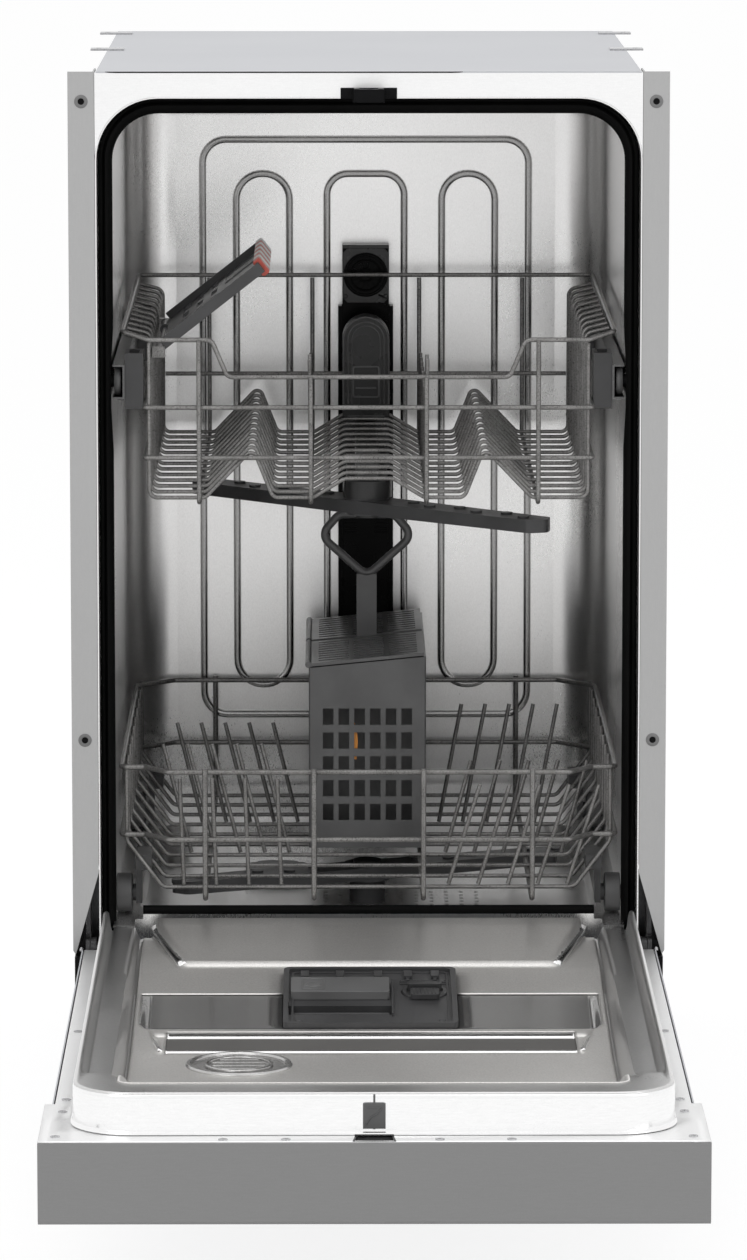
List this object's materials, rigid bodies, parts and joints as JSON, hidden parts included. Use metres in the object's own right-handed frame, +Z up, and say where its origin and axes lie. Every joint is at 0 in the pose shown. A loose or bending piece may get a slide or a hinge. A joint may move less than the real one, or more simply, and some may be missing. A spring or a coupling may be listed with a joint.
{
  "type": "slimline built-in dishwasher",
  "caption": "Slimline under-counter dishwasher for a furniture front, with hinged door, sliding wire racks, spray arms and cutlery basket.",
  "frame": {"origin": "on the floor, under the middle of the object's box with the door open", "axes": "+X to the right seen from the front, +Y towards the back, +Z up"},
  "size_m": [0.448, 1.201, 0.8165],
  "materials": {
    "tub_steel": "brushed stainless steel",
    "door_steel": "brushed stainless steel",
    "panel_steel": "satin coated sheet",
    "trim_steel": "satin steel strip",
    "hinge_steel": "dull pressed steel",
    "black_rubber": "matt",
    "black_plastic": "satin",
    "base_plastic": "matt",
    "console_plastic": "satin",
    "grey_plastic": "satin",
    "basket_plastic": "satin",
    "coated_wire": "nylon-coated wire",
    "damping_mat": "matt"
  },
  "bodies": {
    "cabinet": {"tub_liner": "tub_steel", "front_frame": "tub_steel", "tub_gasket": "black_rubber", "top_panel": "panel_steel", "side_panels": "panel_steel", "rear_panel": "panel_steel", "tub_blanket": "damping_mat", "side_trims": "trim_steel", "worktop_tabs": "panel_steel", "door_striker": "black_plastic", "hinge_brackets": "hinge_steel", "hinge_covers": "black_plastic", "door_springs": "hinge_steel", "base_tray": "base_plastic", "kick_panel": "panel_steel", "levelling_feet": "base_plastic", "spray_manifold": "black_plastic", "sump_housing": "base_plastic", "filter_plate": "tub_steel", "softener_tank": "base_plastic", "circulation_pump": "base_plastic", "drain_pump": "base_plastic", "water_connections": "base_plastic", "roller_pins": "black_plastic"},
    "door": {"door_outer_panel": "panel_steel", "door_liner": "door_steel", "control_console": "console_plastic", "control_board": "base_plastic", "door_pad": "damping_mat", "door_latch": "grey_plastic", "door_screws": "hinge_steel", "hinge_arms": "hinge_steel", "dispenser_housing": "grey_plastic", "door_vent": "grey_plastic"},
    "upper_rack": {"upper_rack_wires": "coated_wire", "upper_rack_frame": "coated_wire", "upper_rails": "trim_steel", "rail_hangers": "grey_plastic", "rack_feed_duct": "grey_plastic", "shelf_rod": "coated_wire"},
    "lower_rack": {"lower_rack_frame": "coated_wire", "lower_rack_wires": "coated_wire", "wheel_carriers": "grey_plastic", "cutlery_basket": "basket_plastic"},
    "detergent_lid": {"detergent_lid": "grey_plastic"},
    "rinse_cap": {"rinse_cap": "black_plastic"},
    "cup_shelf": {"cup_shelf": "grey_plastic"},
    "upper_spray_arm": {"upper_spray_arm": "grey_plastic"},
    "lower_spray_arm": {"lower_spray_arm": "grey_plastic"},
    "filter_cup": {"filter_cup": "grey_plastic"},
    "salt_cap": {"salt_cap": "grey_plastic"},
    "cutlery_lids": {"cutlery_lids": "basket_plastic"},
    "rack_wheel_left_front": {"rack_wheel_left_front": "grey_plastic"},
    "rack_wheel_left_rear": {"rack_wheel_left_rear": "grey_plastic"},
    "rack_wheel_right_front": {"rack_wheel_right_front": "grey_plastic"},
    "rack_wheel_right_rear": {"rack_wheel_right_rear": "grey_plastic"},
    "rail_roller_left_front": {"rail_roller_left_front": "grey_plastic"},
    "rail_roller_left_rear": {"rail_roller_left_rear": "grey_plastic"},
    "rail_roller_right_front": {"rail_roller_right_front": "grey_plastic"},
    "rail_roller_right_rear": {"rail_roller_right_rear": "grey_plastic"}
  },
  "joints": [
    {"name": "door_hinge", "type": "hinge", "parent": "cabinet", "child": "door", "pos_m": [0, 0.0605, 0.152], "axis": [-1, 0, 0], "range_deg": [0, 90]},
    {"name": "lower_rack_slide", "type": "slide", "parent": "cabinet", "child": "lower_rack", "axis": [0, 1, 0], "range_m": [-0.44, 0]},
    {"name": "upper_rack_slide", "type": "slide", "parent": "cabinet", "child": "upper_rack", "axis": [0, 1, 0], "range_m": [-0.345, 0]},
    {"name": "detergent_lid_slide", "type": "slide", "parent": "door", "child": "detergent_lid", "axis": [0, 0.9936, 0.1132], "range_m": [-0.03, 0]},
    {"name": "rinse_cap_turn", "type": "hinge", "parent": "door", "child": "rinse_cap", "pos_m": [0.04, -0.09659, 0.14908], "axis": [0, -0.1132, 0.9936], "range_deg": [0, 90]},
    {"name": "cup_shelf_fold", "type": "hinge", "parent": "upper_rack", "child": "cup_shelf", "pos_m": [-0.158, 0.0635, 0.6], "axis": [0, 1, 0], "range_deg": [-47, 33]},
    {"name": "upper_arm_spin", "type": "hinge", "parent": "upper_rack", "child": "upper_spray_arm", "pos_m": [0, 0.2735, 0.463], "axis": [0, 0, 1], "continuous": true},
    {"name": "lower_arm_spin", "type": "hinge", "parent": "cabinet", "child": "lower_spray_arm", "pos_m": [0, 0.3085, 0.166], "axis": [0, 0, 1], "continuous": true},
    {"name": "filter_cup_turn", "type": "hinge", "parent": "cabinet", "child": "filter_cup", "pos_m": [0.048, 0.2235, 0.14], "axis": [0, 0, 1], "range_deg": [0, 45]},
    {"name": "salt_cap_turn", "type": "hinge", "parent": "cabinet", "child": "salt_cap", "pos_m": [-0.072, 0.4135, 0.146], "axis": [0, 0, 1], "range_deg": [0, 180]},
    {"name": "cutlery_lid_fold", "type": "hinge", "parent": "lower_rack", "child": "cutlery_lids", "pos_m": [-0.04625, 0.0635, 0.33759], "axis": [0, 1, 0], "range_deg": [-100, 0]},
    {"name": "rack_wheel_left_front_spin", "type": "hinge", "parent": "lower_rack", "child": "rack_wheel_left_front", "pos_m": [-0.187, 0.134, 0.1818], "axis": [1, 0, 0], "continuous": true},
    {"name": "rack_wheel_left_rear_spin", "type": "hinge", "parent": "lower_rack", "child": "rack_wheel_left_rear", "pos_m": [-0.187, 0.494, 0.1818], "axis": [1, 0, 0], "continuous": true},
    {"name": "rail_roller_left_front_spin", "type": "hinge", "parent": "cabinet", "child": "rail_roller_left_front", "pos_m": [-0.1895, 0.1175, 0.5785], "axis": [1, 0, 0], "continuous": true},
    {"name": "rail_roller_left_rear_spin", "type": "hinge", "parent": "cabinet", "child": "rail_roller_left_rear", "pos_m": [-0.1895, 0.1555, 0.5785], "axis": [1, 0, 0], "continuous": true},
    {"name": "rack_wheel_right_front_spin", "type": "hinge", "parent": "lower_rack", "child": "rack_wheel_right_front", "pos_m": [0.187, 0.134, 0.1818], "axis": [1, 0, 0], "continuous": true},
    {"name": "rack_wheel_right_rear_spin", "type": "hinge", "parent": "lower_rack", "child": "rack_wheel_right_rear", "pos_m": [0.187, 0.494, 0.1818], "axis": [1, 0, 0], "continuous": true},
    {"name": "rail_roller_right_front_spin", "type": "hinge", "parent": "cabinet", "child": "rail_roller_right_front", "pos_m": [0.1895, 0.1175, 0.5785], "axis": [1, 0, 0], "continuous": true},
    {"name": "rail_roller_right_rear_spin", "type": "hinge", "parent": "cabinet", "child": "rail_roller_right_rear", "pos_m": [0.1895, 0.1555, 0.5785], "axis": [1, 0, 0], "continuous": true}
  ]
}
